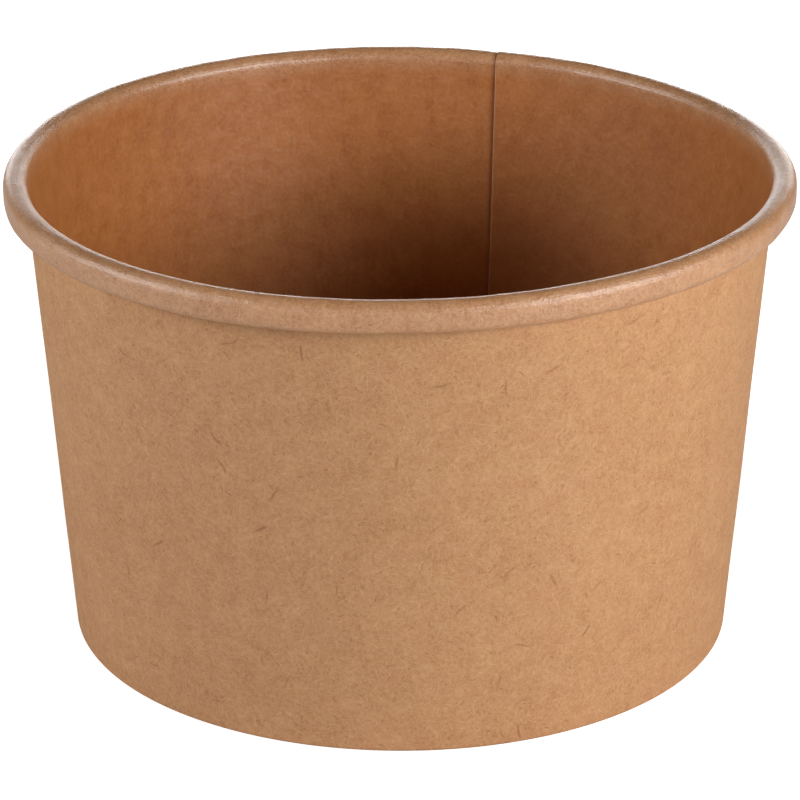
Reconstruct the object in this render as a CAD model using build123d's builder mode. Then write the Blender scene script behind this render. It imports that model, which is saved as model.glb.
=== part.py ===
from build123d import *
from math import acos, asin, atan2, cos, degrees, hypot, pi, sin, tan
import os

# Paper ice cream tub, open, without its lid. Lengths in millimetres, angles in degrees.
# The origin is the centre of the foot ring on the table, and +Z points up out of the mouth.
# A conical side blank carries the rolled rim and the hem, and the hem holds the base.

# Overall size
rim_diameter = 96.0  # over the rolled rim
height = 59.1
base_diameter = 81.6  # over the wall at the table

# Board
board = 0.45  # side blank
base_board = 0.40
seal_film = 0.04  # clearance that the melted coating fills between two layers

# Rolled rim
roll_core = 0.05  # radius left open in the roll where two layers pass
roll_band = 1.28  # upright face between the rim's two bends, which a lid grips
roll_tuck = 0.6  # straight end of the roll, tucked up beside the wall
roll_creases = 3  # creases that each quarter turn of the roll bends at

# Side seam
seam_angle = 73.7  # where the inner cut edge stands, counted from +X
seam_lap = 8.0

# Hem and base
hem_height = 6.5  # how far the blank is turned up inside
fold_radius = 0.08  # inside each corner of the hem's pressed fold
fold_creases = 2  # creases at each corner of the fold
base_bend_radius = 0.6  # inside the base's bend
base_creases = 3  # creases at the base's bend
hem_clearance = 0.3  # from the turned-up end to the base's bend
skirt_clearance = 0.3  # from the fold to the skirt's end

# The lap's two layers lie across the roll three times, at the wall, at the tucked end and outside,
# with a film between any two that meet and the core between the tucked end and the outside.
lap_depth = board + seal_film
roll_gap = lap_depth + seal_film
roll_radius = roll_core + 3 * board + 2 * seal_film
crest_centre = rim_diameter / 2 - roll_radius
crest_height = height - roll_radius
band_foot = crest_height - roll_band

# The wall's inside face runs tangent to the roll, and its outside face meets the base's diameter.
# From here on, angles inside the section are in radians.
run = crest_centre - base_diameter / 2
taper = atan2(run, crest_height) - asin((roll_radius - board) / hypot(run, crest_height))
wall_room = (rim_diameter - base_diameter) / 2 * cos(taper) - band_foot * sin(taper)
curl_radius = (wall_room - roll_gap) / (1 + cos(taper))

# The hem's leg stands behind the wall with the base's skirt between them.
skirt_room = base_board + 2 * seal_film
fold_height = board + fold_radius
bend_height = hem_height + hem_clearance
floor_height = bend_height + base_bend_radius + base_board

# The left end of the blank leaves the round on a tangent and climbs over the right end.
seam_radius = (rim_diameter + base_diameter) / 4
climb_angle = degrees(acos(seam_radius / (seam_radius + lap_depth)))
lap_angle = degrees(seam_lap / seam_radius)


def radius_at(z, inward):
    """Radius at height z of a line parallel to the wall, this far in from its outside face."""
    return base_diameter / 2 + z * tan(taper) - inward / cos(taper)


def bend(centre, radius, start, end, creases):
    """Corners of a bend in the board: flats that touch a circle between two angles seen from its centre."""
    step = (end - start) / creases
    reach = radius / cos(step / 2)
    angles = [start + step * (crease + 0.5) for crease in range(creases)]
    return [(centre[0] + reach * cos(angle), centre[1] + reach * sin(angle)) for angle in angles]


def blank_section(angle, depth):
    """Section of the side blank, whose board starts at this depth behind the tub's inside face."""
    middle = depth + board / 2
    # Centres of the bends, from the hem's toe and heel to the rim's crest and curl
    toe = (radius_at(fold_height, board + skirt_room - fold_radius), fold_height)
    heel = (radius_at(fold_height, board + fold_radius), fold_height)
    crest = (crest_centre, crest_height)
    curl = (rim_diameter / 2 - curl_radius, band_foot)
    # Radii of the bends, at the middle of the board
    fold = fold_radius + middle
    roll = roll_radius - middle
    tuck = curl_radius - middle
    # The blank's two ends, inside the hem and inside the roll
    leg_end = (radius_at(hem_height, board + skirt_room + middle), hem_height)
    tuck_height = band_foot + roll_tuck
    tuck_end = (radius_at(tuck_height, -roll_gap - middle), tuck_height)
    with BuildSketch(Plane.XZ.rotated((0, 0, angle))) as section:
        with BuildLine():
            Polyline(
                leg_end,
                *bend(toe, fold, pi - taper, 3 * pi / 2, fold_creases),
                *bend(heel, fold, 3 * pi / 2, 2 * pi - taper, fold_creases),
                *bend(crest, roll, pi - taper, pi / 2, roll_creases),
                *bend(crest, roll, pi / 2, 0, roll_creases),
                *bend(curl, tuck, 0, -pi / 2, roll_creases),
                *bend(curl, tuck, -pi / 2, -pi - taper, roll_creases),
                tuck_end,
            )
        trace(line_width=board)
    return section.sketch


# Sidewall: one layer of board all the way round, the climb, and the lap's outer layer.
with BuildPart() as sidewall:
    round_start = seam_angle + climb_angle
    lap_start = seam_angle - lap_angle
    round_section = blank_section(round_start, 0)
    revolve(round_section, Axis.Z, 360 - climb_angle)
    loft([round_section, blank_section(seam_angle, lap_depth)], ruled=True)
    revolve(blank_section(lap_start, lap_depth), Axis.Z, lap_angle)
    # The lap's outer layer is pressed away under the foot, so that the tub stands flat.
    split(bisect_by=Plane.XY, keep=Keep.TOP)
sidewall.part.label = "sidewall"

# Base disc: its skirt is turned down between the wall and the hem's leg.
with BuildPart() as base_disc:
    skirt_line = board + seal_film + base_board / 2
    skirt_end = board + skirt_clearance
    disc_middle = floor_height - base_board / 2
    bend_middle = base_bend_radius + base_board / 2
    bend_centre = (radius_at(bend_height, skirt_line + bend_middle), bend_height)
    with BuildSketch(Plane.XZ):
        with BuildLine():
            Polyline(
                (0, disc_middle),
                *bend(bend_centre, bend_middle, pi / 2, -taper, base_creases),
                (radius_at(skirt_end, skirt_line), skirt_end),
            )
        trace(line_width=base_board)
    revolve(axis=Axis.Z)
base_disc.part.label = "base_disc"

os.makedirs("parts", exist_ok=True)
export_step(sidewall.part, "parts/sidewall.step")
export_step(base_disc.part, "parts/base_disc.step")

print("taper", round(degrees(taper), 2), "roll radius", round(roll_radius, 2))
for piece in (sidewall.part, base_disc.part):
    size = piece.bounding_box().size
    print(piece.label, "volume", round(piece.volume, 1), "size", size)
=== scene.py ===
from math import acos, asin, atan2, cos, hypot, pi, radians, sin, tan
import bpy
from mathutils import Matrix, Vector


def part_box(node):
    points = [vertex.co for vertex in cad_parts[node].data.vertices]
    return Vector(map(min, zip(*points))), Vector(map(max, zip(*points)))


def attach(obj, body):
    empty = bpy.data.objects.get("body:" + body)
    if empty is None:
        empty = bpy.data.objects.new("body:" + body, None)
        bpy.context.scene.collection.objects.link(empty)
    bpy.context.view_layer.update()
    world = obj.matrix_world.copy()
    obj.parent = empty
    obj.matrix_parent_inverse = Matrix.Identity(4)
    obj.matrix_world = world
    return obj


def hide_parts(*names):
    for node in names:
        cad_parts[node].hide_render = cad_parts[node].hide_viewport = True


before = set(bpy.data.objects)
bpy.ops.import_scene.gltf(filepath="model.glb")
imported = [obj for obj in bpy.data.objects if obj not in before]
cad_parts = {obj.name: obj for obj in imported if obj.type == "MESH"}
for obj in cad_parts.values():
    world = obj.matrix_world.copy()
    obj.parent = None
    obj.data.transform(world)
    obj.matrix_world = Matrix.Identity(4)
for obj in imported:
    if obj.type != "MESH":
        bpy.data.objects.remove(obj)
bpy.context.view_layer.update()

from types import SimpleNamespace

import bpy
import numpy as np
from bpy.props import FloatProperty, FloatVectorProperty, IntProperty, PointerProperty
from bpy.types import Operator, Panel, PropertyGroup
from mathutils import Vector

bl_info = {
    "name": "Paper Ice Cream Tub",
    "version": (1, 0, 0),
    "blender": (4, 5, 0),
    "location": "3D View > Sidebar > Tub",
    "description": "Models a paper ice cream tub of brown kraft board, with its rolled rim, seam and base",
    "category": "Add Mesh",
}

# Lengths are metres, as Blender counts them, and the values below are written in millimetres.
MM = 0.001
BODY = "root"
# Attribute: where a point lies on the flat board, in millimetres, and its share in the rim's roll
BLANK = "blank"

# Edges sharper than this stay hard.
SMOOTH_ANGLE = radians(40)
MERGE_DISTANCE = 0.001 * MM
# Material slot of the cut edges, which Solidify counts on from the face it starts with
CUT_SLOT = 2


def srgb(code):
    """Linear colour of an sRGB hex code."""
    parts = [int(code[i:i + 2], 16) / 255 for i in (1, 3, 5)]
    return tuple(p / 12.92 if p <= 0.04045 else ((p + 0.055) / 1.055) ** 2.4 for p in parts)


def length(name, description, default):
    """A length that the user can change, with its default in millimetres."""
    return FloatProperty(name=name, description=description, default=default * MM, unit="LENGTH", precision=5)


def colour(name, description, code):
    """A colour that the user can change, with its default as an sRGB hex code."""
    return FloatVectorProperty(
        name=name, description=description, default=srgb(code), subtype="COLOR", size=3, min=0, max=1
    )


def lamp_power(name, description, default):
    """A lamp's power in watts, which the user can change."""
    return FloatProperty(name=name, description=description, default=default, min=0, unit="POWER")


def frame_size(axis):
    """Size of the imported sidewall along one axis, in millimetres."""
    low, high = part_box("sidewall")
    return round((high[axis] - low[axis]) / MM, 3)


class TubSizes(PropertyGroup):
    """Sizes of the tub's two pieces of board."""

    rim_diameter: length("Rim Diameter", "Over the rolled rim", frame_size(0))
    height: length("Height", "From the table to the top of the rim", frame_size(2))
    base_diameter: length("Base Diameter", "Over the wall at the table", 81.6)
    board: length("Board", "Thickness of the side blank", 0.45)
    base_board: length("Base Board", "Thickness of the base", 0.40)
    seal_film: length("Seal Film", "Melted coating between two layers", 0.04)
    roll_core: length("Roll Core", "Radius left open in the roll at the lap", 0.05)
    roll_band: length("Roll Band", "Upright face between the rim's two bends", 1.28)
    roll_tuck: length("Roll Tuck", "Straight end of the roll beside the wall", 0.6)
    seam_angle: FloatProperty(
        name="Seam Angle", description="Where the inner cut edge stands, from +X",
        default=radians(73.7), unit="ROTATION",
    )
    seam_lap: length("Seam Lap", "Width of the glued lap", 8.0)
    hem_height: length("Hem Height", "How far the blank is turned up inside", 6.5)
    fold_radius: length("Fold Radius", "Inside the hem's pressed fold", 0.08)
    base_bend_radius: length("Base Bend Radius", "Inside the base's bend", 0.6)
    hem_clearance: length("Hem Clearance", "From the turned-up end to the base's bend", 0.3)
    skirt_clearance: length("Skirt Clearance", "From the fold to the skirt's end", 0.3)
    press_thickness: length("Press Thickness", "Inner layer's thickness at its cut edge in the roll", 0.10)
    press_width: length("Press Width", "How far from the cut edge the layer regains its thickness", 3.5)
    press_fade: length("Press Fade", "How far below the roll the pressing fades out", 5.0)
    whitening: length("Whitening", "How far below the roll the stretched film begins to whiten", 1.5)
    cut_rounding: FloatProperty(
        name="Cut Rounding", description="Share of the board's thickness that a cut edge's corner takes",
        default=30, min=0, max=45, subtype="PERCENTAGE",
    )
    knurl_depth: length("Knurl Depth", "Depth of the knurls pressed into the hem", 0.07)
    rim_twist: length("Rim Twist", "How far the rim stands out of level", 0.245)
    foot_squeeze: length("Foot Squeeze", "How far the foot stands out of round", 0.18)
    rim_ripple: length("Rim Ripple", "Height of the ripples in the rim", 0.05)
    rim_ripple_length: length("Rim Ripple Length", "Length of the ripples in the rim", 5.0)
    wall_ripple: length("Wall Ripple", "Height of the ripples in the wall", 0.12)
    wall_ripple_length: length("Wall Ripple Length", "Length of the ripples in the wall", 24.0)
    ripple_fade: length("Ripple Fade", "How far above the hem the wall's ripples reach their height", 20.0)
    floor_ripple: length("Floor Ripple", "Height of the ripples in the floor", 0.2)
    floor_ripple_length: length("Floor Ripple Length", "Length of the ripples in the floor", 22.0)
    columns: IntProperty(name="Columns", description="Faces round the tub", default=300, min=48, max=480)


class TubColours(PropertyGroup):
    """Colours of the board and of what shows in it."""

    kraft: colour("Kraft", "Uncoated face", "#b78457")
    kraft_light: colour("Kraft Light", "Pale clouds in the uncoated face", "#c49265")
    kraft_dark: colour("Kraft Dark", "Reddish clouds in the uncoated face", "#a87246")
    reddish: colour("Reddish", "Redder clouds in the board", "#b57c54")
    coated: colour("Coated", "Coated face", "#b06b34")
    coated_light: colour("Coated Light", "Pale clouds in the coated face", "#bc7840")
    coated_dark: colour("Coated Dark", "Dark clouds in the coated face", "#a25d2a")
    pale_fibre: colour("Pale Fibre", "Fine fibres lying on the face", "#deb68e")
    coated_roll: colour("Coated Roll", "Coated face where the roll has stretched and whitened it", "#b67c4f")
    roll_light: colour("Roll Light", "Pale clouds in the rolled face", "#c58f63")
    roll_dark: colour("Roll Dark", "Dark clouds in the rolled face", "#a2683c")
    dark_fibre: colour("Dark Fibre", "Sparse fibres of bark and knots", "#7f4f2b")
    # Painted shade: this colour darkens a strip beside the seam's cut edge, where the inner layer's step
    # shades the outer layer.
    seam_shade: colour("Melted", "Film squeezed out along the seam", "#8a4312")
    cut_edge: colour("Cut Edge", "Raw fibre at a cut edge", "#c9a27c")


class TubStage(PropertyGroup):
    """Camera, lamps and floor."""

    camera_distance: length("Camera Distance", "From the camera to the middle of the tub", 507.87)
    camera_elevation: FloatProperty(
        name="Camera Elevation", description="Above the horizon", default=radians(22.2475), unit="ROTATION"
    )
    camera_roll: FloatProperty(
        name="Camera Roll", description="About the line of sight", default=radians(-0.116), unit="ROTATION"
    )
    lens: FloatProperty(
        name="Lens", description="Focal length in millimetres", default=184.25, unit="CAMERA"
    )
    aim_drop: length("Aim Drop", "How far below the tub's middle the camera aims", 1.583)
    right_lamp: lamp_power("Right Lamp", "Power of the right lamp", 3.1)
    left_lamp: lamp_power("Left Lamp", "Power of the left lamp", 1.9)
    front_lamp: lamp_power("Front Lamp", "Power of the fill lamp", 0.5)
    back_lamp: lamp_power("Back Lamp", "Power of the lamp behind", 1.3)
    ambient: FloatProperty(name="Ambient", description="Strength of the room's light", default=0.01)


def section_of(sizes):
    """The wall's and the bends' places in the tub's section, worked out from the sizes."""
    s = SimpleNamespace()
    s.lap_depth = sizes.board + sizes.seal_film
    s.roll_gap = s.lap_depth + sizes.seal_film
    s.roll_radius = sizes.roll_core + 3 * sizes.board + 2 * sizes.seal_film
    crest_x = sizes.rim_diameter / 2 - s.roll_radius
    crest_z = sizes.height - s.roll_radius
    s.band_foot = crest_z - sizes.roll_band
    # The wall's inside face runs tangent to the roll, and its outside face meets the base's diameter.
    run = crest_x - sizes.base_diameter / 2
    s.taper = atan2(run, crest_z) - asin((s.roll_radius - sizes.board) / hypot(run, crest_z))
    wall_room = (sizes.rim_diameter - sizes.base_diameter) / 2 * cos(s.taper) - s.band_foot * sin(s.taper)
    s.curl_radius = (wall_room - s.roll_gap) / (1 + cos(s.taper))

    def radius_at(z, inward):
        return sizes.base_diameter / 2 + z * tan(s.taper) - inward / cos(s.taper)

    s.radius_at = radius_at
    skirt_room = sizes.base_board + 2 * sizes.seal_film
    s.leg = sizes.board + skirt_room
    s.fold_height = sizes.board + sizes.fold_radius
    s.toe = (radius_at(s.fold_height, s.leg - sizes.fold_radius), s.fold_height)
    s.heel = (radius_at(s.fold_height, s.fold_height), s.fold_height)
    s.crest = (crest_x, crest_z)
    s.curl = (sizes.rim_diameter / 2 - s.curl_radius, s.band_foot)
    s.bend_height = sizes.hem_height + sizes.hem_clearance
    s.floor_height = s.bend_height + sizes.base_bend_radius + sizes.base_board
    # The left end of the blank leaves the round on a tangent and climbs over the right end.
    s.seam_radius = (sizes.rim_diameter + sizes.base_diameter) / 4
    s.climb_angle = acos(s.seam_radius / (s.seam_radius + s.lap_depth))
    s.lap_angle = sizes.seam_lap / s.seam_radius
    return s


class Profile:
    """A chain of edges drawn by extruding one vertex through the XZ plane."""

    def __init__(self, name, start):
        bpy.ops.object.select_all(action="DESELECT")
        bpy.ops.mesh.primitive_plane_add(size=MM)
        self.piece = bpy.context.object
        self.piece.name = name
        self.piece.data.name = name
        bpy.ops.object.mode_set(mode="EDIT")
        bpy.ops.mesh.select_mode(type="VERT")
        bpy.ops.mesh.merge(type="CENTER")
        bpy.ops.transform.translate(value=(start[0], 0, start[1]))
        self.here = start

    def line(self, end, steps=1):
        """Extrudes straight to the end, in equal steps."""
        step = ((end[0] - self.here[0]) / steps, 0, (end[1] - self.here[1]) / steps)
        for _ in range(steps):
            bpy.ops.mesh.extrude_region_move(TRANSFORM_OT_translate={"value": step})
        self.here = end

    def arc(self, centre, radius, start, end, steps, lead=1):
        """Extrudes straight to the arc's start, and spins round its centre to its end."""
        self.line((centre[0] + radius * cos(start), centre[1] + radius * sin(start)), lead)
        bpy.ops.mesh.spin(steps=steps, angle=end - start, center=(centre[0], 0, centre[1]), axis=(0, 1, 0))
        self.here = (centre[0] + radius * cos(end), centre[1] + radius * sin(end))


def coordinates(mesh):
    """All the mesh's vertices, one row each."""
    flat = np.empty(len(mesh.vertices) * 3, np.float32)
    mesh.vertices.foreach_get("co", flat)
    return flat.reshape(-1, 3).astype(float)


def distance_along(piece):
    """Distance of each vertex along a drawn section, whose vertices come in order."""
    steps = np.linalg.norm(np.diff(coordinates(piece.data), axis=0), axis=1)
    return np.concatenate([[0], np.cumsum(steps)])


def smooth_step(share):
    """Eases from 0 at a share of 0 to 1 at a share of 1."""
    share = np.clip(share, 0, 1)
    return share * share * (3 - 2 * share)


def turn_round(steps, angle):
    """Spins what is selected about the tub's axis, from +X towards +Y."""
    bpy.ops.mesh.spin(steps=steps, angle=angle, center=(0, 0, 0), axis=(0, 0, -1))


def weigh(piece, name, weights):
    """Adds a vertex group with a weight for every vertex."""
    group = piece.vertex_groups.new(name=name)
    for index, weight in enumerate(weights):
        group.add([index], float(weight), "REPLACE")
    return name


def apply_modifier(piece, kind, **settings):
    """Adds a modifier with its settings and applies it."""
    modifier = piece.modifiers.new(kind.title(), kind)
    for name, value in settings.items():
        setattr(modifier, name, value)
    bpy.context.view_layer.objects.active = piece
    bpy.ops.object.modifier_apply(modifier=modifier.name)


def mark_blank(piece, slant, angle, spread, rolled, aside=0):
    """Stores each vertex's place on the flat board: its distance from the centre, turned by its angle.

    The third value is its share in the rim's roll. A blank may lie aside from the first one on the board.
    """
    across = (slant * np.sin(angle * spread) - aside) / MM
    up = slant * np.cos(angle * spread) / MM
    places = np.stack([across, up, rolled], axis=1).astype(np.float32)
    attribute = piece.data.attributes.new(BLANK, "FLOAT_VECTOR", "POINT")
    attribute.data.foreach_set("vector", places.ravel())


def stand_uneven(piece, sizes):
    """Brings the rim slightly out of level and the foot slightly out of round, as the real tub stands."""
    half = sizes.rim_diameter / 2
    bpy.ops.object.add(type="LATTICE", location=(0, 0, sizes.height / 2))
    cage = bpy.context.object
    cage.data.interpolation_type_u = "KEY_LINEAR"
    cage.data.interpolation_type_v = "KEY_LINEAR"
    cage.data.interpolation_type_w = "KEY_LINEAR"
    cage.scale = (2 * half, 2 * half, sizes.height)
    for point in cage.data.points:
        x, y, z = 2 * point.co
        if z > 0:
            point.co_deform.z -= x * y * 2 * sizes.rim_twist / sizes.height
        else:
            point.co_deform.x -= y * sizes.foot_squeeze / (2 * half)
            point.co_deform.y -= x * sizes.foot_squeeze / (2 * half)
    bpy.context.view_layer.update()
    apply_modifier(piece, "LATTICE", object=cage)
    bpy.data.objects.remove(cage)


def ripple(piece, name, wavelength, height, weights):
    """Moves the board by a smooth cloud pattern in space, so that layers which lie together stay together."""
    texture = bpy.data.textures.new(name, "CLOUDS")
    texture.noise_scale = wavelength
    texture.noise_depth = 1
    texture.cloud_type = "COLOR"
    apply_modifier(
        piece, "DISPLACE", texture=texture, texture_coords="LOCAL", direction="RGB_TO_XYZ",
        strength=2 * height, mid_level=0.5, vertex_group=weights,
    )


def select_parts(piece, kind, chosen):
    """Selects the faces or edges that a test picks, and nothing else, and leaves the piece in edit mode."""
    bpy.ops.object.mode_set(mode="EDIT")
    bpy.ops.mesh.select_mode(type=kind)
    bpy.ops.mesh.select_all(action="DESELECT")
    bpy.ops.object.mode_set(mode="OBJECT")
    for part in piece.data.polygons if kind == "FACE" else piece.data.edges:
        part.select = chosen(part)
    bpy.ops.object.mode_set(mode="EDIT")


def thicken(piece, board, side, **settings):
    """Gives a face its board, to the side that its normals point to (1) or to the other side (-1)."""
    apply_modifier(
        piece, "SOLIDIFY", thickness=board, offset=side, use_even_offset=True, material_offset=1,
        material_offset_rim=CUT_SLOT, **settings,
    )


def paint(piece, *materials):
    """Gives the piece the materials of the side that its faces point to, the other side and the cut edges."""
    for material in materials:
        piece.data.materials.append(material)


def finish_piece(piece, sizes, node):
    """Sets the piece as uneven as the real one and shades it, and gives it its place in the frame."""
    stand_uneven(piece, sizes)
    bpy.ops.object.shade_smooth_by_angle(angle=SMOOTH_ANGLE)
    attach(piece, BODY)
    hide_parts(node)


class TUB_OT_sidewall(Operator):
    """Models the side blank: wrapped into a cone, lapped, hemmed at the foot and rolled at the rim"""

    bl_idname = "mesh.tub_sidewall"
    bl_label = "Add Sidewall"
    bl_options = {"REGISTER", "UNDO"}

    lap_steps = 8
    climb_steps = 10
    # Only faces within this angle of the lap and this height are cut, a hair below the foot's own flat ring.
    trim_margin = radians(1)
    trim_height = 2 * MM
    trim_slack = 0.0005 * MM

    def execute(self, context):
        sizes = context.scene.tub_sizes
        section = section_of(sizes)
        piece, along, wall_top = self.draw_section(sizes, section)
        uncoated, coated, cut = board_materials(context.scene.tub_colours, section)
        paint(piece, uncoated, coated, cut)
        self.wrap(piece, sizes, section, along, wall_top)
        thicken(piece, sizes.board, 1, vertex_group="thickness")
        self.trim_foot(piece, sizes, section)
        self.ease_cut_edges(piece, sizes)
        ripple(piece, "rim_ripple", sizes.rim_ripple_length, sizes.rim_ripple, "roll")
        ripple(piece, "wall_ripple", sizes.wall_ripple_length, sizes.wall_ripple, "wall")
        finish_piece(piece, sizes, "sidewall")
        return {"FINISHED"}

    def draw_section(self, sizes, section):
        """Draws the coated face's section. Returns how far along it each vertex and the wall's top lie."""
        taper = section.taper
        leg_end = (section.radius_at(sizes.hem_height, section.leg), sizes.hem_height)
        profile = Profile("paper_sidewall", leg_end)
        profile.arc(section.toe, sizes.fold_radius, pi - taper, 3 * pi / 2, 4, lead=6)
        profile.arc(section.heel, sizes.fold_radius, 3 * pi / 2, 2 * pi - taper, 4)
        profile.arc(section.crest, section.roll_radius, pi - taper, 0, 16, lead=32)
        profile.arc(section.curl, section.curl_radius, 0, -pi - taper, 14, lead=2)
        tuck_height = section.band_foot + sizes.roll_tuck
        profile.line((section.radius_at(tuck_height, -section.roll_gap), tuck_height))
        bpy.ops.object.mode_set(mode="OBJECT")
        along = distance_along(profile.piece)
        wall_top = along[-1] - sizes.roll_tuck / cos(taper) - sizes.roll_band
        wall_top -= section.roll_radius * (pi - taper) + section.curl_radius * (pi + taper)
        return profile.piece, along, wall_top

    def wrap(self, piece, sizes, section, along, wall_top):
        """Turns the section round from the lap's outer end to its inner end, climbing over itself."""
        bpy.ops.object.mode_set(mode="EDIT")
        bpy.ops.mesh.select_all(action="SELECT")
        turned = [0.0]
        stretches = (
            (self.lap_steps, section.lap_angle),
            (self.climb_steps, section.climb_angle),
            (sizes.columns, 2 * pi - section.climb_angle),
        )
        for steps, angle in stretches:
            turn_round(steps, angle)
            turned += [turned[-1] + angle * (step + 1) / steps for step in range(steps)]
        bpy.ops.object.mode_set(mode="OBJECT")
        wall = min(piece.data.polygons, key=lambda face: abs(face.center.z - sizes.height / 2))
        if wall.normal.x * wall.center.x + wall.normal.y * wall.center.y < 0:
            piece.data.flip_normals()

        # Spin adds one column of vertices after another, so each vertex's column, angle and place are known.
        column = np.repeat(np.arange(len(turned)), len(along))
        turned = np.array(turned)[column]
        along = np.tile(along, column[-1] + 1)
        rolled = smooth_step((along - wall_top + sizes.whitening) / (sizes.whitening + sizes.roll_band))
        apex = section.radius_at(0, 0) / sin(section.taper)
        mark_blank(piece, apex + along, turned, sin(section.taper), rolled)
        self.lay_over(piece, sizes, section, turned, smooth_step((along - wall_top) / sizes.press_fade + 1))
        self.knurl_hem(piece, sizes, column, along)
        above_hem = along - sizes.hem_height * 2
        weigh(piece, "wall", smooth_step(above_hem / sizes.ripple_fade))
        piece.rotation_euler.z = sizes.seam_angle - section.lap_angle
        bpy.ops.object.transform_apply(location=True, rotation=True, scale=True)

    def lay_over(self, piece, sizes, section, turned, roll):
        """Moves the lap's outer layer and its climb out by what lies under them.

        The roll's tools press the lap nearly flush, so there the inner layer thins towards its cut edge.
        """
        pressed = (1 - sizes.press_thickness / sizes.board) * roll
        press_angle = sizes.press_width / section.seam_radius
        to_seam = np.clip(section.lap_angle - turned, 0, None)
        to_end = section.lap_angle + 2 * pi - turned
        under = 1 - pressed * (1 - smooth_step(to_seam / press_angle))
        own = 1 - pressed * (1 - smooth_step(to_end / press_angle))
        climb = section.climb_angle - np.clip(turned - section.lap_angle, 0, section.climb_angle)
        risen = section.seam_radius * (1 / np.cos(climb) - 1) / section.lap_depth
        share = risen * (sizes.board * under + sizes.seal_film) / section.lap_depth
        weigh(piece, "roll", roll)
        weigh(piece, "thickness", own)
        lap = weigh(piece, "lap", share)
        apply_modifier(piece, "DISPLACE", strength=section.lap_depth, mid_level=0, vertex_group=lap)

    def knurl_hem(self, piece, sizes, column, along):
        """Presses every other pair of columns into the hem's turned-up end, as its tool does to grip."""
        pressed = (column // 2 % 2) * (along < sizes.hem_height)
        knurl = weigh(piece, "knurl", pressed * np.clip(np.sin(pi * along / sizes.hem_height), 0, 1))
        apply_modifier(piece, "DISPLACE", strength=-sizes.knurl_depth, mid_level=0, vertex_group=knurl)

    def trim_foot(self, piece, sizes, section):
        """Cuts off level at the table what the lap's outer layer and its climb would put below it."""
        first = sizes.seam_angle - section.lap_angle - self.trim_margin
        last = sizes.seam_angle + section.climb_angle + self.trim_margin

        def near_lap(face):
            angle = atan2(face.center.y, face.center.x)
            return first < angle < last and face.center.z < self.trim_height

        select_parts(piece, "FACE", near_lap)
        bpy.ops.mesh.bisect(
            plane_co=(0, 0, -self.trim_slack), plane_no=(0, 0, 1), use_fill=True, clear_inner=True,
            threshold=1e-8,
        )
        bpy.ops.mesh.quads_convert_to_tris()
        bpy.ops.object.mode_set(mode="OBJECT")

    def ease_cut_edges(self, piece, sizes):
        """Rounds the square corners of the blank's two cut ends above the hem."""
        mesh = piece.data
        sides = {}
        for face in mesh.polygons:
            for key in face.edge_keys:
                sides.setdefault(key, set()).add(face.material_index == CUT_SLOT)

        def cut_corner(edge):
            first, last = (mesh.vertices[index].co for index in edge.vertices)
            around = Vector((-first.y, first.x, 0)).normalized()
            upright = abs((last - first).normalized().dot(around)) < 0.5
            return len(sides[edge.key]) == 2 and upright and min(first.z, last.z) > sizes.hem_height

        select_parts(piece, "EDGE", cut_corner)
        bpy.ops.mesh.bevel(offset_type="PERCENT", offset_pct=sizes.cut_rounding, segments=2)
        bpy.ops.object.mode_set(mode="OBJECT")


class TUB_OT_base_disc(Operator):
    """Models the base: a disc whose skirt is turned down inside the hem"""

    bl_idname = "mesh.tub_base_disc"
    bl_label = "Add Base Disc"
    bl_options = {"REGISTER", "UNDO"}

    columns = 180
    # The base's blank is cut beside the side blank, clear of the marks that the seam leaves on the board.
    aside = 300 * MM

    def execute(self, context):
        sizes = context.scene.tub_sizes
        section = section_of(sizes)
        bend_radius = sizes.base_bend_radius + sizes.base_board
        skirt = sizes.board + sizes.seal_film
        centre = (section.radius_at(section.bend_height, skirt + bend_radius), section.bend_height)
        profile = Profile("paper_base", (0, section.floor_height))
        profile.arc(centre, bend_radius, pi / 2, -section.taper, 8, lead=20)
        skirt_end = sizes.board + sizes.skirt_clearance
        profile.line((section.radius_at(skirt_end, skirt), skirt_end), 4)
        piece = profile.piece
        uncoated, coated, cut = board_materials(context.scene.tub_colours, section)
        paint(piece, coated, uncoated, cut)
        bpy.ops.object.mode_set(mode="OBJECT")
        along = distance_along(piece)
        bpy.ops.object.mode_set(mode="EDIT")
        bpy.ops.mesh.select_all(action="SELECT")
        turn_round(self.columns, 2 * pi)
        bpy.ops.object.mode_set(mode="OBJECT")
        places = coordinates(piece.data)
        along = np.tile(along, len(places) // len(along))
        mark_blank(piece, along, np.arctan2(places[:, 1], places[:, 0]), 1, 0 * along, aside=self.aside)
        weigh(piece, "floor", 1 - smooth_step(2 * along / centre[0] - 1))
        bpy.ops.object.mode_set(mode="EDIT")
        bpy.ops.mesh.select_all(action="SELECT")
        bpy.ops.mesh.remove_doubles(threshold=MERGE_DISTANCE)
        bpy.ops.object.mode_set(mode="OBJECT")
        middle = min(piece.data.polygons, key=lambda face: face.center.xy.length)
        if middle.normal.z < 0:
            piece.data.flip_normals()
        thicken(piece, sizes.base_board, -1)
        ripple(piece, "floor_ripple", sizes.floor_ripple_length, sizes.floor_ripple, "floor")
        finish_piece(piece, sizes, "base_disc")
        return {"FINISHED"}


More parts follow.
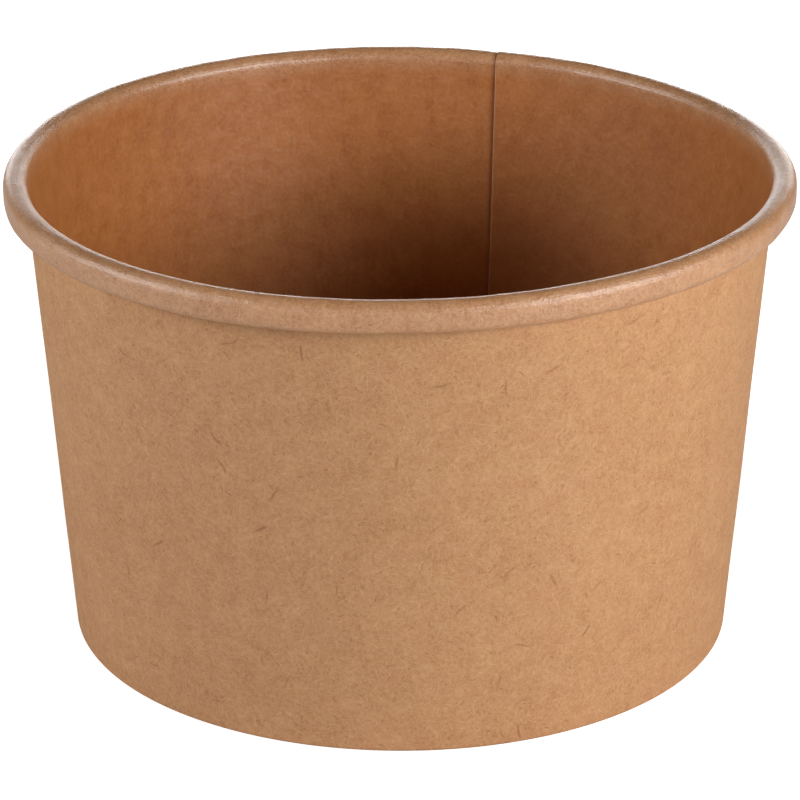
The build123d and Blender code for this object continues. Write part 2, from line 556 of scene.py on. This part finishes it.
# Sorts of fibre that lie scattered in the board: their spacing, length and width in millimetres, the turn of
# their pattern in radians, and the share of its places that hold one. Real fibres are about 0.03 mm wide, too
# fine to show, so these are drawn several times as wide.
PALE_FIBRES = (
    (1.5, 1.9, 0.13, 0.3, 1.0),
    (1.1, 1.3, 0.12, 1.1, 1.0),
    (0.8, 1.0, 0.11, 3.2, 1.0),
)
DARK_FIBRES = (
    (7.0, 2.4, 0.5, 4.4, 0.5),
    (2.6, 1.1, 0.24, 5.7, 0.3),
    (1.3, 0.5, 0.26, 7.1, 0.25),
)
SMUDGES = (
    (3.7, 2.6, 1.1, 2.9, 0.7),
)
FILMED_PALE_FIBRES = (
    (1.5, 1.8, 0.15, 0.7, 1.0),
    (1.0, 1.1, 0.13, 1.9, 1.0),
)
FILMED_DARK_FIBRES = (
    (4.6, 1.5, 0.3, 5.1, 0.3),
    (1.4, 0.5, 0.22, 6.3, 0.3),
)

# The mat of fibres between them: length and width in millimetres, drawn as coarse as the others, and how many
# directions they lie in
MAT_LENGTH = 1.1
MAT_WIDTH = 0.22
MAT_DIRECTIONS = 6
# How far a fibre of the mat reaches from its middle, in the noise's own values
MAT_RIDGE = 0.035
# Each layer of the mat lies this far from the last in the noise, so that no two are alike.
MAT_SHIFT = (13.7, 5.3)
# Size of a noise's patches at a scale of 1
NOISE_PATCH = 0.6

# Along the seam's cut edge, in millimetres: the width of the painted shade beside the inner layer's step, and
# the width of the painted highlight along its cut edge, with the part of that highlight at full strength
SEAM_SHADE_WIDTH = 1.0
EDGE_HIGHLIGHT_WIDTH = 0.3
EDGE_HIGHLIGHT_FULL = 0.05

# Indices of refraction of paper's fibre and of polyethylene
FIBRE_IOR = 1.45
FILM_IOR = 1.51


def add_node(tree, kind, inputs=None, **settings):
    """Adds a node with its settings. An input takes a value, an output, or a node for its first output."""
    made = tree.nodes.new(kind)
    for name, value in settings.items():
        setattr(made, name, value)
    for name, value in (inputs or {}).items():
        if isinstance(value, bpy.types.Node):
            value = value.outputs[0]
        if isinstance(value, bpy.types.NodeSocket):
            tree.links.new(value, made.inputs[name])
        else:
            made.inputs[name].default_value = value
    return made


def start_nodes(owner):
    """The empty node tree of a material or a world."""
    owner.use_nodes = True
    owner.node_tree.nodes.clear()
    return owner.node_tree


def board_material(name, add_board, *looks):
    """The material of that name, made once for both pieces. Its nodes read the flat board's coordinates."""
    material = bpy.data.materials.get(name)
    if material is None:
        material = bpy.data.materials.new(name)
        tree = start_nodes(material)
        blank = add_node(tree, "ShaderNodeAttribute", attribute_name=BLANK).outputs["Vector"]
        shader = add_board(tree, blank, *looks)
        add_node(tree, "ShaderNodeOutputMaterial", {"Surface": shader})
    return material


def board_materials(colours, section):
    """The board's uncoated face, its coated face and its cut edge."""
    return (
        board_material("uncoated_kraft_board", uncoated_kraft, colours),
        board_material("coated_kraft_board", coated_kraft, colours, section),
        board_material("cut_kraft_edge", cut_board, colours),
    )


def clouds(tree, blank, patch, detail=3.0):
    """Smooth patches of about this size in millimetres, from 0 to 1."""
    return add_node(
        tree, "ShaderNodeTexNoise",
        {"Vector": blank, "Scale": NOISE_PATCH / patch, "Detail": detail, "Roughness": 0.6},
        noise_dimensions="2D",
    ).outputs["Fac"]


def matted_fibres(tree, blank):
    """Matted fibres: ridges of a noise that is stretched along several directions, from 0 to 1."""
    nearest = None
    for number in range(MAT_DIRECTIONS):
        # A texture mapping turns the board before it stretches the noise, so each layer lies its own way.
        laid = add_node(tree, "ShaderNodeMapping", {
            "Vector": blank, "Location": (MAT_SHIFT[0] * number, MAT_SHIFT[1] * number, 0),
            "Rotation": (0, 0, pi * number / MAT_DIRECTIONS),
            "Scale": (MAT_LENGTH / NOISE_PATCH, MAT_WIDTH / NOISE_PATCH, 1),
        }, vector_type="TEXTURE")
        noise = add_node(
            tree, "ShaderNodeTexNoise",
            {"Vector": laid, "Scale": 1.0, "Detail": 1.0, "Roughness": 0.5, "Distortion": 0.4},
            noise_dimensions="2D",
        )
        # A fibre runs wherever the noise crosses its middle value.
        off = add_node(tree, "ShaderNodeMath", {0: noise.outputs["Fac"], 1: 0.5}, operation="SUBTRACT")
        ridge = add_node(tree, "ShaderNodeMath", {0: off}, operation="ABSOLUTE")
        if nearest is None:
            nearest = ridge
        else:
            nearest = add_node(tree, "ShaderNodeMath", {0: nearest, 1: ridge}, operation="MINIMUM")
    return add_node(tree, "ShaderNodeMapRange", {"Value": nearest, "From Min": MAT_RIDGE, "From Max": 0.0})


def fibre_sort(tree, blank, spacing, fibre_length, fibre_width, turn, share):
    """Single fibres, one to each cell of a pattern, each turned and bowed its own way."""
    # The pattern is moved by its turn too, so that no two sorts have the same cells.
    laid = add_node(
        tree, "ShaderNodeMapping",
        {"Vector": blank, "Location": (71 * turn, 37 * turn, 0), "Rotation": (0, 0, turn)},
    )
    cell = add_node(
        tree, "ShaderNodeTexVoronoi", {"Vector": laid, "Scale": 1 / spacing, "Randomness": 1.0},
        voronoi_dimensions="2D",
    )
    chance = add_node(tree, "ShaderNodeSeparateColor", {"Color": cell.outputs["Color"]})
    offset = add_node(
        tree, "ShaderNodeVectorMath", {0: laid, 1: cell.outputs["Position"]}, operation="SUBTRACT"
    )
    angle = add_node(tree, "ShaderNodeMath", {0: chance.outputs["Red"], 1: 2 * pi}, operation="MULTIPLY")
    turned = add_node(
        tree, "ShaderNodeVectorRotate", {"Vector": offset, "Angle": angle}, rotation_type="Z_AXIS"
    )
    axes = add_node(tree, "ShaderNodeSeparateXYZ", {"Vector": turned})
    # A bowed fibre leaves its line by the square of the distance along it.
    square = add_node(tree, "ShaderNodeMath", {0: axes.outputs["X"], 1: 2.0}, operation="POWER")
    bow = add_node(
        tree, "ShaderNodeMapRange",
        {"Value": chance.outputs["Green"], "To Min": -0.5 / fibre_length, "To Max": 0.5 / fibre_length},
    )
    line = add_node(
        tree, "ShaderNodeMath", {0: square, 1: bow, 2: axes.outputs["Y"]}, operation="MULTIPLY_ADD"
    )
    across = add_node(tree, "ShaderNodeMath", {0: line}, operation="ABSOLUTE")
    within = add_node(
        tree, "ShaderNodeMapRange", {"Value": across, "From Min": fibre_width / 2, "From Max": 0.0},
        interpolation_type="SMOOTHSTEP",
    )
    along = add_node(tree, "ShaderNodeMath", {0: axes.outputs["X"]}, operation="ABSOLUTE")
    ends = add_node(
        tree, "ShaderNodeMapRange",
        {"Value": along, "From Min": fibre_length / 2, "From Max": fibre_length / 4},
    )
    fibre = add_node(tree, "ShaderNodeMath", {0: within, 1: ends}, operation="MULTIPLY")
    # The cell's own chance makes some of its fibres strong, some weak and the rest none.
    held = add_node(
        tree, "ShaderNodeMapRange", {"Value": chance.outputs["Blue"], "From Min": share, "From Max": 0.0}
    )
    return add_node(tree, "ShaderNodeMath", {0: fibre, 1: held}, operation="MULTIPLY")


def scattered_fibres(tree, blank, sorts):
    """Fibres of several sorts, the strongest of them at each point."""
    strongest = fibre_sort(tree, blank, *sorts[0])
    for sort in sorts[1:]:
        fibre = fibre_sort(tree, blank, *sort)
        strongest = add_node(tree, "ShaderNodeMath", {0: strongest, 1: fibre}, operation="MAXIMUM")
    return strongest


def tinted(tree, ground, tint, mask, strength):
    """The ground's colour, mixed towards a tint where the mask is."""
    share = add_node(tree, "ShaderNodeMath", {0: mask, 1: strength}, operation="MULTIPLY")
    return add_node(
        tree, "ShaderNodeMix", {"Factor": share, "A": ground, "B": (*tint, 1)}, data_type="RGBA"
    ).outputs["Result"]


def pulp(tree, blank):
    """How pale the board's pulp is at each point, from 0 to 1: clouds of three sizes, down to its grain."""
    large = clouds(tree, blank, patch=10.0, detail=2.0)
    small = clouds(tree, blank, patch=1.6)
    grain = clouds(tree, blank, patch=0.32)
    two = add_node(tree, "ShaderNodeMath", {0: large, 1: 0.5, 2: small}, operation="MULTIPLY_ADD")
    three = add_node(tree, "ShaderNodeMath", {0: grain, 1: 1.1, 2: two}, operation="MULTIPLY_ADD")
    # The three clouds add up to 1.3 where each is at its middle.
    return add_node(tree, "ShaderNodeMapRange", {"Value": three, "From Min": 0.85, "From Max": 1.75})


def shades(tree, paleness, dark, middle, light):
    """A colour from dark through middle to light."""
    ramp = add_node(tree, "ShaderNodeValToRGB", {"Fac": paleness})
    ramp.color_ramp.elements[0].color = (*dark, 1)
    ramp.color_ramp.elements[1].color = (*light, 1)
    ramp.color_ramp.elements.new(0.5).color = (*middle, 1)
    return ramp


def from_seam(tree, blank, section, turned):
    """Distance in millimetres past the line of the seam's cut edge, where the blank has turned so far."""
    upright = add_node(
        tree, "ShaderNodeMapping", {"Vector": blank, "Rotation": (0, 0, turned * sin(section.taper))}
    )
    return add_node(tree, "ShaderNodeSeparateXYZ", {"Vector": upright}).outputs["X"]


def uncoated_kraft(tree, blank, colours):
    """Uncoated kraft board: matt, cloudy, with pale fibres lying every way and a few dark ones."""
    surface = shades(tree, pulp(tree, blank), colours.kraft_dark, colours.kraft, colours.kraft_light)
    mat = matted_fibres(tree, blank)
    pale = scattered_fibres(tree, blank, PALE_FIBRES)
    dark = scattered_fibres(tree, blank, DARK_FIBRES)
    smudge = scattered_fibres(tree, blank, SMUDGES)
    redder = add_node(
        tree, "ShaderNodeMapRange",
        {"Value": clouds(tree, blank, patch=2.6, detail=2.0), "From Min": 0.42, "From Max": 0.68},
    )
    surface = tinted(tree, surface, colours.reddish, redder, strength=0.4)
    surface = tinted(tree, surface, colours.dark_fibre, smudge, strength=0.14)
    surface = tinted(tree, surface, colours.pale_fibre, mat, strength=0.3)
    surface = tinted(tree, surface, colours.pale_fibre, pale, strength=0.45)
    surface = tinted(tree, surface, colours.dark_fibre, dark, strength=0.6)
    bump = add_node(
        tree, "ShaderNodeBump",
        {"Height": clouds(tree, blank, patch=0.35), "Strength": 0.3, "Distance": 0.03 * MM},
    )
    return add_node(
        tree, "ShaderNodeBsdfPrincipled",
        {"Base Color": surface, "Roughness": 0.85, "IOR": FIBRE_IOR, "Normal": bump},
    )


def coated_kraft(tree, blank, colours, section):
    """Kraft board under a polyethylene film: satin and deeper in colour, paler and brighter over the roll."""
    paleness = pulp(tree, blank)
    surface = shades(tree, paleness, colours.coated_dark, colours.coated, colours.coated_light)
    # The film is thinner in blotches, which were drawn out along the wall.
    drawn = add_node(tree, "ShaderNodeMapping", {"Vector": blank, "Scale": (1, 0.35, 1)})
    thinner = add_node(
        tree, "ShaderNodeMapRange",
        {"Value": clouds(tree, drawn, patch=1.5), "From Min": 0.4, "From Max": 0.7},
    )
    surface = tinted(tree, surface, colours.coated_light, thinner, strength=0.45)

    # Over the roll the film is stretched and whitened, and the mat of fibres shows through it.
    rolled = add_node(tree, "ShaderNodeSeparateXYZ", {"Vector": blank}).outputs["Z"]
    whitened = shades(tree, paleness, colours.roll_dark, colours.coated_roll, colours.roll_light)
    whitened = tinted(tree, whitened, colours.pale_fibre, matted_fibres(tree, blank), strength=0.4)
    surface = add_node(
        tree, "ShaderNodeMix", {"Factor": rolled, "A": surface, "B": whitened}, data_type="RGBA"
    ).outputs["Result"]
    pale = scattered_fibres(tree, blank, FILMED_PALE_FIBRES)
    dark = scattered_fibres(tree, blank, FILMED_DARK_FIBRES)
    surface = tinted(tree, surface, colours.pale_fibre, pale, strength=0.2)
    surface = tinted(tree, surface, colours.dark_fibre, dark, strength=0.4)

    # Painted shade lies along the seam, on the outer layer, beside the inner layer's cut edge, where its step
    # shades the board.
    bare = from_seam(tree, blank, section, section.lap_angle)
    seam_shadow_falloff = add_node(
        tree, "ShaderNodeMapRange", {"Value": bare, "From Min": SEAM_SHADE_WIDTH, "From Max": 0.0},
        interpolation_type="SMOOTHSTEP",
    )
    near = add_node(tree, "ShaderNodeMath", {0: bare, 1: -SEAM_SHADE_WIDTH}, operation="GREATER_THAN")
    seam_shade = add_node(tree, "ShaderNodeMath", {0: seam_shadow_falloff, 1: near}, operation="MULTIPLY")
    surface = tinted(tree, surface, colours.seam_shade, seam_shade, strength=0.6)
    # A painted highlight runs along the inner layer's cut edge, where its rounded corner catches the light,
    # in the roll's colour.
    short = from_seam(tree, blank, section, section.lap_angle + 2 * pi)
    edge_highlight = add_node(
        tree, "ShaderNodeMapRange", {"Value": short, "From Min": -EDGE_HIGHLIGHT_WIDTH, "From Max": -EDGE_HIGHLIGHT_FULL}
    )
    surface = tinted(tree, surface, colours.coated_roll, edge_highlight, strength=0.7)

    # The film's own unevenness is too fine to show, so it is drawn coarser, to break the gloss up.
    grain = clouds(tree, blank, patch=0.22)
    wave = clouds(tree, blank, patch=1.4, detail=2.0)
    relief = add_node(tree, "ShaderNodeMath", {0: grain, 1: rolled, 2: wave}, operation="MULTIPLY_ADD")
    bump = add_node(tree, "ShaderNodeBump", {"Height": relief, "Strength": 1.0, "Distance": 0.08 * MM})
    gloss = add_node(
        tree, "ShaderNodeMapRange", {"Value": clouds(tree, blank, patch=0.8), "To Min": 0.35, "To Max": 0.55}
    )
    return add_node(tree, "ShaderNodeBsdfPrincipled", {
        "Base Color": surface, "Roughness": gloss, "IOR": FILM_IOR, "Normal": bump,
        "Coat Weight": 0.8, "Coat Roughness": 0.28, "Coat IOR": FILM_IOR, "Coat Normal": bump,
    })


def cut_board(tree, blank, colours):
    """A cut edge of kraft board: raw pale fibre, dull and slightly rough."""
    surface = shades(tree, pulp(tree, blank), colours.kraft, colours.cut_edge, colours.pale_fibre)
    bump = add_node(
        tree, "ShaderNodeBump",
        {"Height": clouds(tree, blank, patch=0.2), "Strength": 0.5, "Distance": 0.04 * MM},
    )
    return add_node(
        tree, "ShaderNodeBsdfPrincipled",
        {"Base Color": surface, "Roughness": 0.9, "IOR": FIBRE_IOR, "Normal": bump},
    )


class TUB_OT_stage(Operator):
    """Adds the floor, the lamps, the room's light and the camera"""

    bl_idname = "scene.tub_stage"
    bl_label = "Add Stage"
    bl_options = {"REGISTER", "UNDO"}

    white = (1, 1, 1, 1)
    floor_grey = (0.8, 0.8, 0.8, 1)
    floor_size = 6.0
    # Between these distances from the tub's axis the camera sees the floor go from this share of white to
    # all of it.
    shadow_start = 0.06
    shadow_end = 0.2
    shadow_white = 0.75

    # The lamps all stand this far from the tub's foot. Each has its azimuth and elevation in degrees, and its
    # width and height in metres.
    lamp_distance = 0.6
    lamps = {
        "right": (56, 23, 0.44, 0.18),
        "left": (-80, 27, 0.42, 0.18),
        "front": (-15, 14, 0.5, 0.14),
        "back": (180, 8, 0.6, 0.16),
    }

    def execute(self, context):
        stage = context.scene.tub_stage
        self.floor()
        self.room(context, stage)
        for side, place in self.lamps.items():
            self.lamp(context, "lamp_" + side, *place, getattr(stage, side + "_lamp"))
        self.camera(context, stage)
        return {"FINISHED"}

    def floor(self):
        """A plain pale floor, which the camera sees white, a little less so near the tub for its shadow."""
        bpy.ops.object.select_all(action="DESELECT")
        bpy.ops.mesh.primitive_plane_add(size=self.floor_size)
        floor = bpy.context.object
        floor.name = "studio_floor"
        material = bpy.data.materials.new("pale_floor")
        tree = start_nodes(material)
        matt = add_node(tree, "ShaderNodeBsdfDiffuse", {"Color": self.floor_grey})
        place = add_node(tree, "ShaderNodeTexCoord").outputs["Object"]
        away = add_node(tree, "ShaderNodeVectorMath", {0: place}, operation="LENGTH").outputs["Value"]
        glare = add_node(tree, "ShaderNodeMapRange", {
            "Value": away, "From Min": self.shadow_start, "From Max": self.shadow_end,
            "To Min": self.shadow_white, "To Max": 1.0,
        })
        seen = add_node(tree, "ShaderNodeLightPath").outputs["Is Camera Ray"]
        strength = add_node(tree, "ShaderNodeMath", {0: seen, 1: glare}, operation="MULTIPLY")
        glow = add_node(tree, "ShaderNodeEmission", {"Strength": strength})
        both = add_node(tree, "ShaderNodeAddShader", {0: matt, 1: glow})
        add_node(tree, "ShaderNodeOutputMaterial", {"Surface": both})
        floor.data.materials.append(material)

    def room(self, context, stage):
        """A dim room, which the camera sees white."""
        world = bpy.data.worlds.new("studio_room")
        context.scene.world = world
        tree = start_nodes(world)
        seen = add_node(tree, "ShaderNodeLightPath").outputs["Is Camera Ray"]
        dim = add_node(tree, "ShaderNodeBackground", {"Color": self.white, "Strength": stage.ambient})
        bright = add_node(tree, "ShaderNodeBackground", {"Color": self.white, "Strength": 1})
        mixed = add_node(tree, "ShaderNodeMixShader", {0: seen, 1: dim, 2: bright})
        add_node(tree, "ShaderNodeOutputWorld", {"Surface": mixed})

    def lamp(self, context, name, azimuth, elevation, width, height, power):
        """A soft box that faces the tub from an azimuth, counted from the camera's side towards +X."""
        turn = radians(azimuth)
        rise = radians(elevation)
        away = Vector((sin(turn) * cos(rise), -cos(turn) * cos(rise), sin(rise)))
        light = bpy.data.lights.new(name, "AREA")
        light.shape = "RECTANGLE"
        light.size = width
        light.size_y = height
        light.energy = power
        lamp = bpy.data.objects.new(name, light)
        context.scene.collection.objects.link(lamp)
        lamp.location = away * self.lamp_distance
        lamp.rotation_euler = away.to_track_quat("Z", "Y").to_euler()

    def camera(self, context, stage):
        """The camera at the photograph's angle, aimed a little below the tub's middle."""
        middle = Vector((0, 0, context.scene.tub_sizes.height / 2))
        rise = stage.camera_elevation
        place = middle + Vector((0, -cos(rise), sin(rise))) * stage.camera_distance
        data = bpy.data.cameras.new("camera")
        data.lens = stage.lens
        camera = bpy.data.objects.new("camera", data)
        context.scene.collection.objects.link(camera)
        camera.location = place
        aim = middle - Vector((0, 0, stage.aim_drop)) - place
        camera.rotation_euler = aim.to_track_quat("-Z", "Y").to_euler()
        camera.rotation_euler.rotate_axis("Z", stage.camera_roll)
        context.scene.camera = camera


class TUB_PT_panel(Panel):
    """Lists the tub's sizes, colours, stage and pieces"""

    bl_label = "Paper Ice Cream Tub"
    bl_idname = "TUB_PT_panel"
    bl_space_type = "VIEW_3D"
    bl_region_type = "UI"
    bl_category = "Tub"

    def draw(self, context):
        layout = self.layout
        for group in (context.scene.tub_sizes, context.scene.tub_colours, context.scene.tub_stage):
            box = layout.box()
            for name in group.bl_rna.properties.keys():
                if name not in ("rna_type", "name"):
                    box.prop(group, name)
        for piece in (TUB_OT_sidewall, TUB_OT_base_disc, TUB_OT_stage):
            layout.operator(piece.bl_idname)


CLASSES = (TubSizes, TubColours, TubStage, TUB_OT_sidewall, TUB_OT_base_disc, TUB_OT_stage, TUB_PT_panel)


def register():
    for kind in CLASSES:
        bpy.utils.register_class(kind)
    bpy.types.Scene.tub_sizes = PointerProperty(type=TubSizes)
    bpy.types.Scene.tub_colours = PointerProperty(type=TubColours)
    bpy.types.Scene.tub_stage = PointerProperty(type=TubStage)


def unregister():
    del bpy.types.Scene.tub_stage
    del bpy.types.Scene.tub_colours
    del bpy.types.Scene.tub_sizes
    for kind in reversed(CLASSES):
        bpy.utils.unregister_class(kind)


def main():
    register()
    bpy.context.scene.view_settings.view_transform = "Standard"
    bpy.ops.mesh.tub_sidewall()
    bpy.ops.mesh.tub_base_disc()
    bpy.ops.scene.tub_stage()


if __name__ == "__main__":
    main()
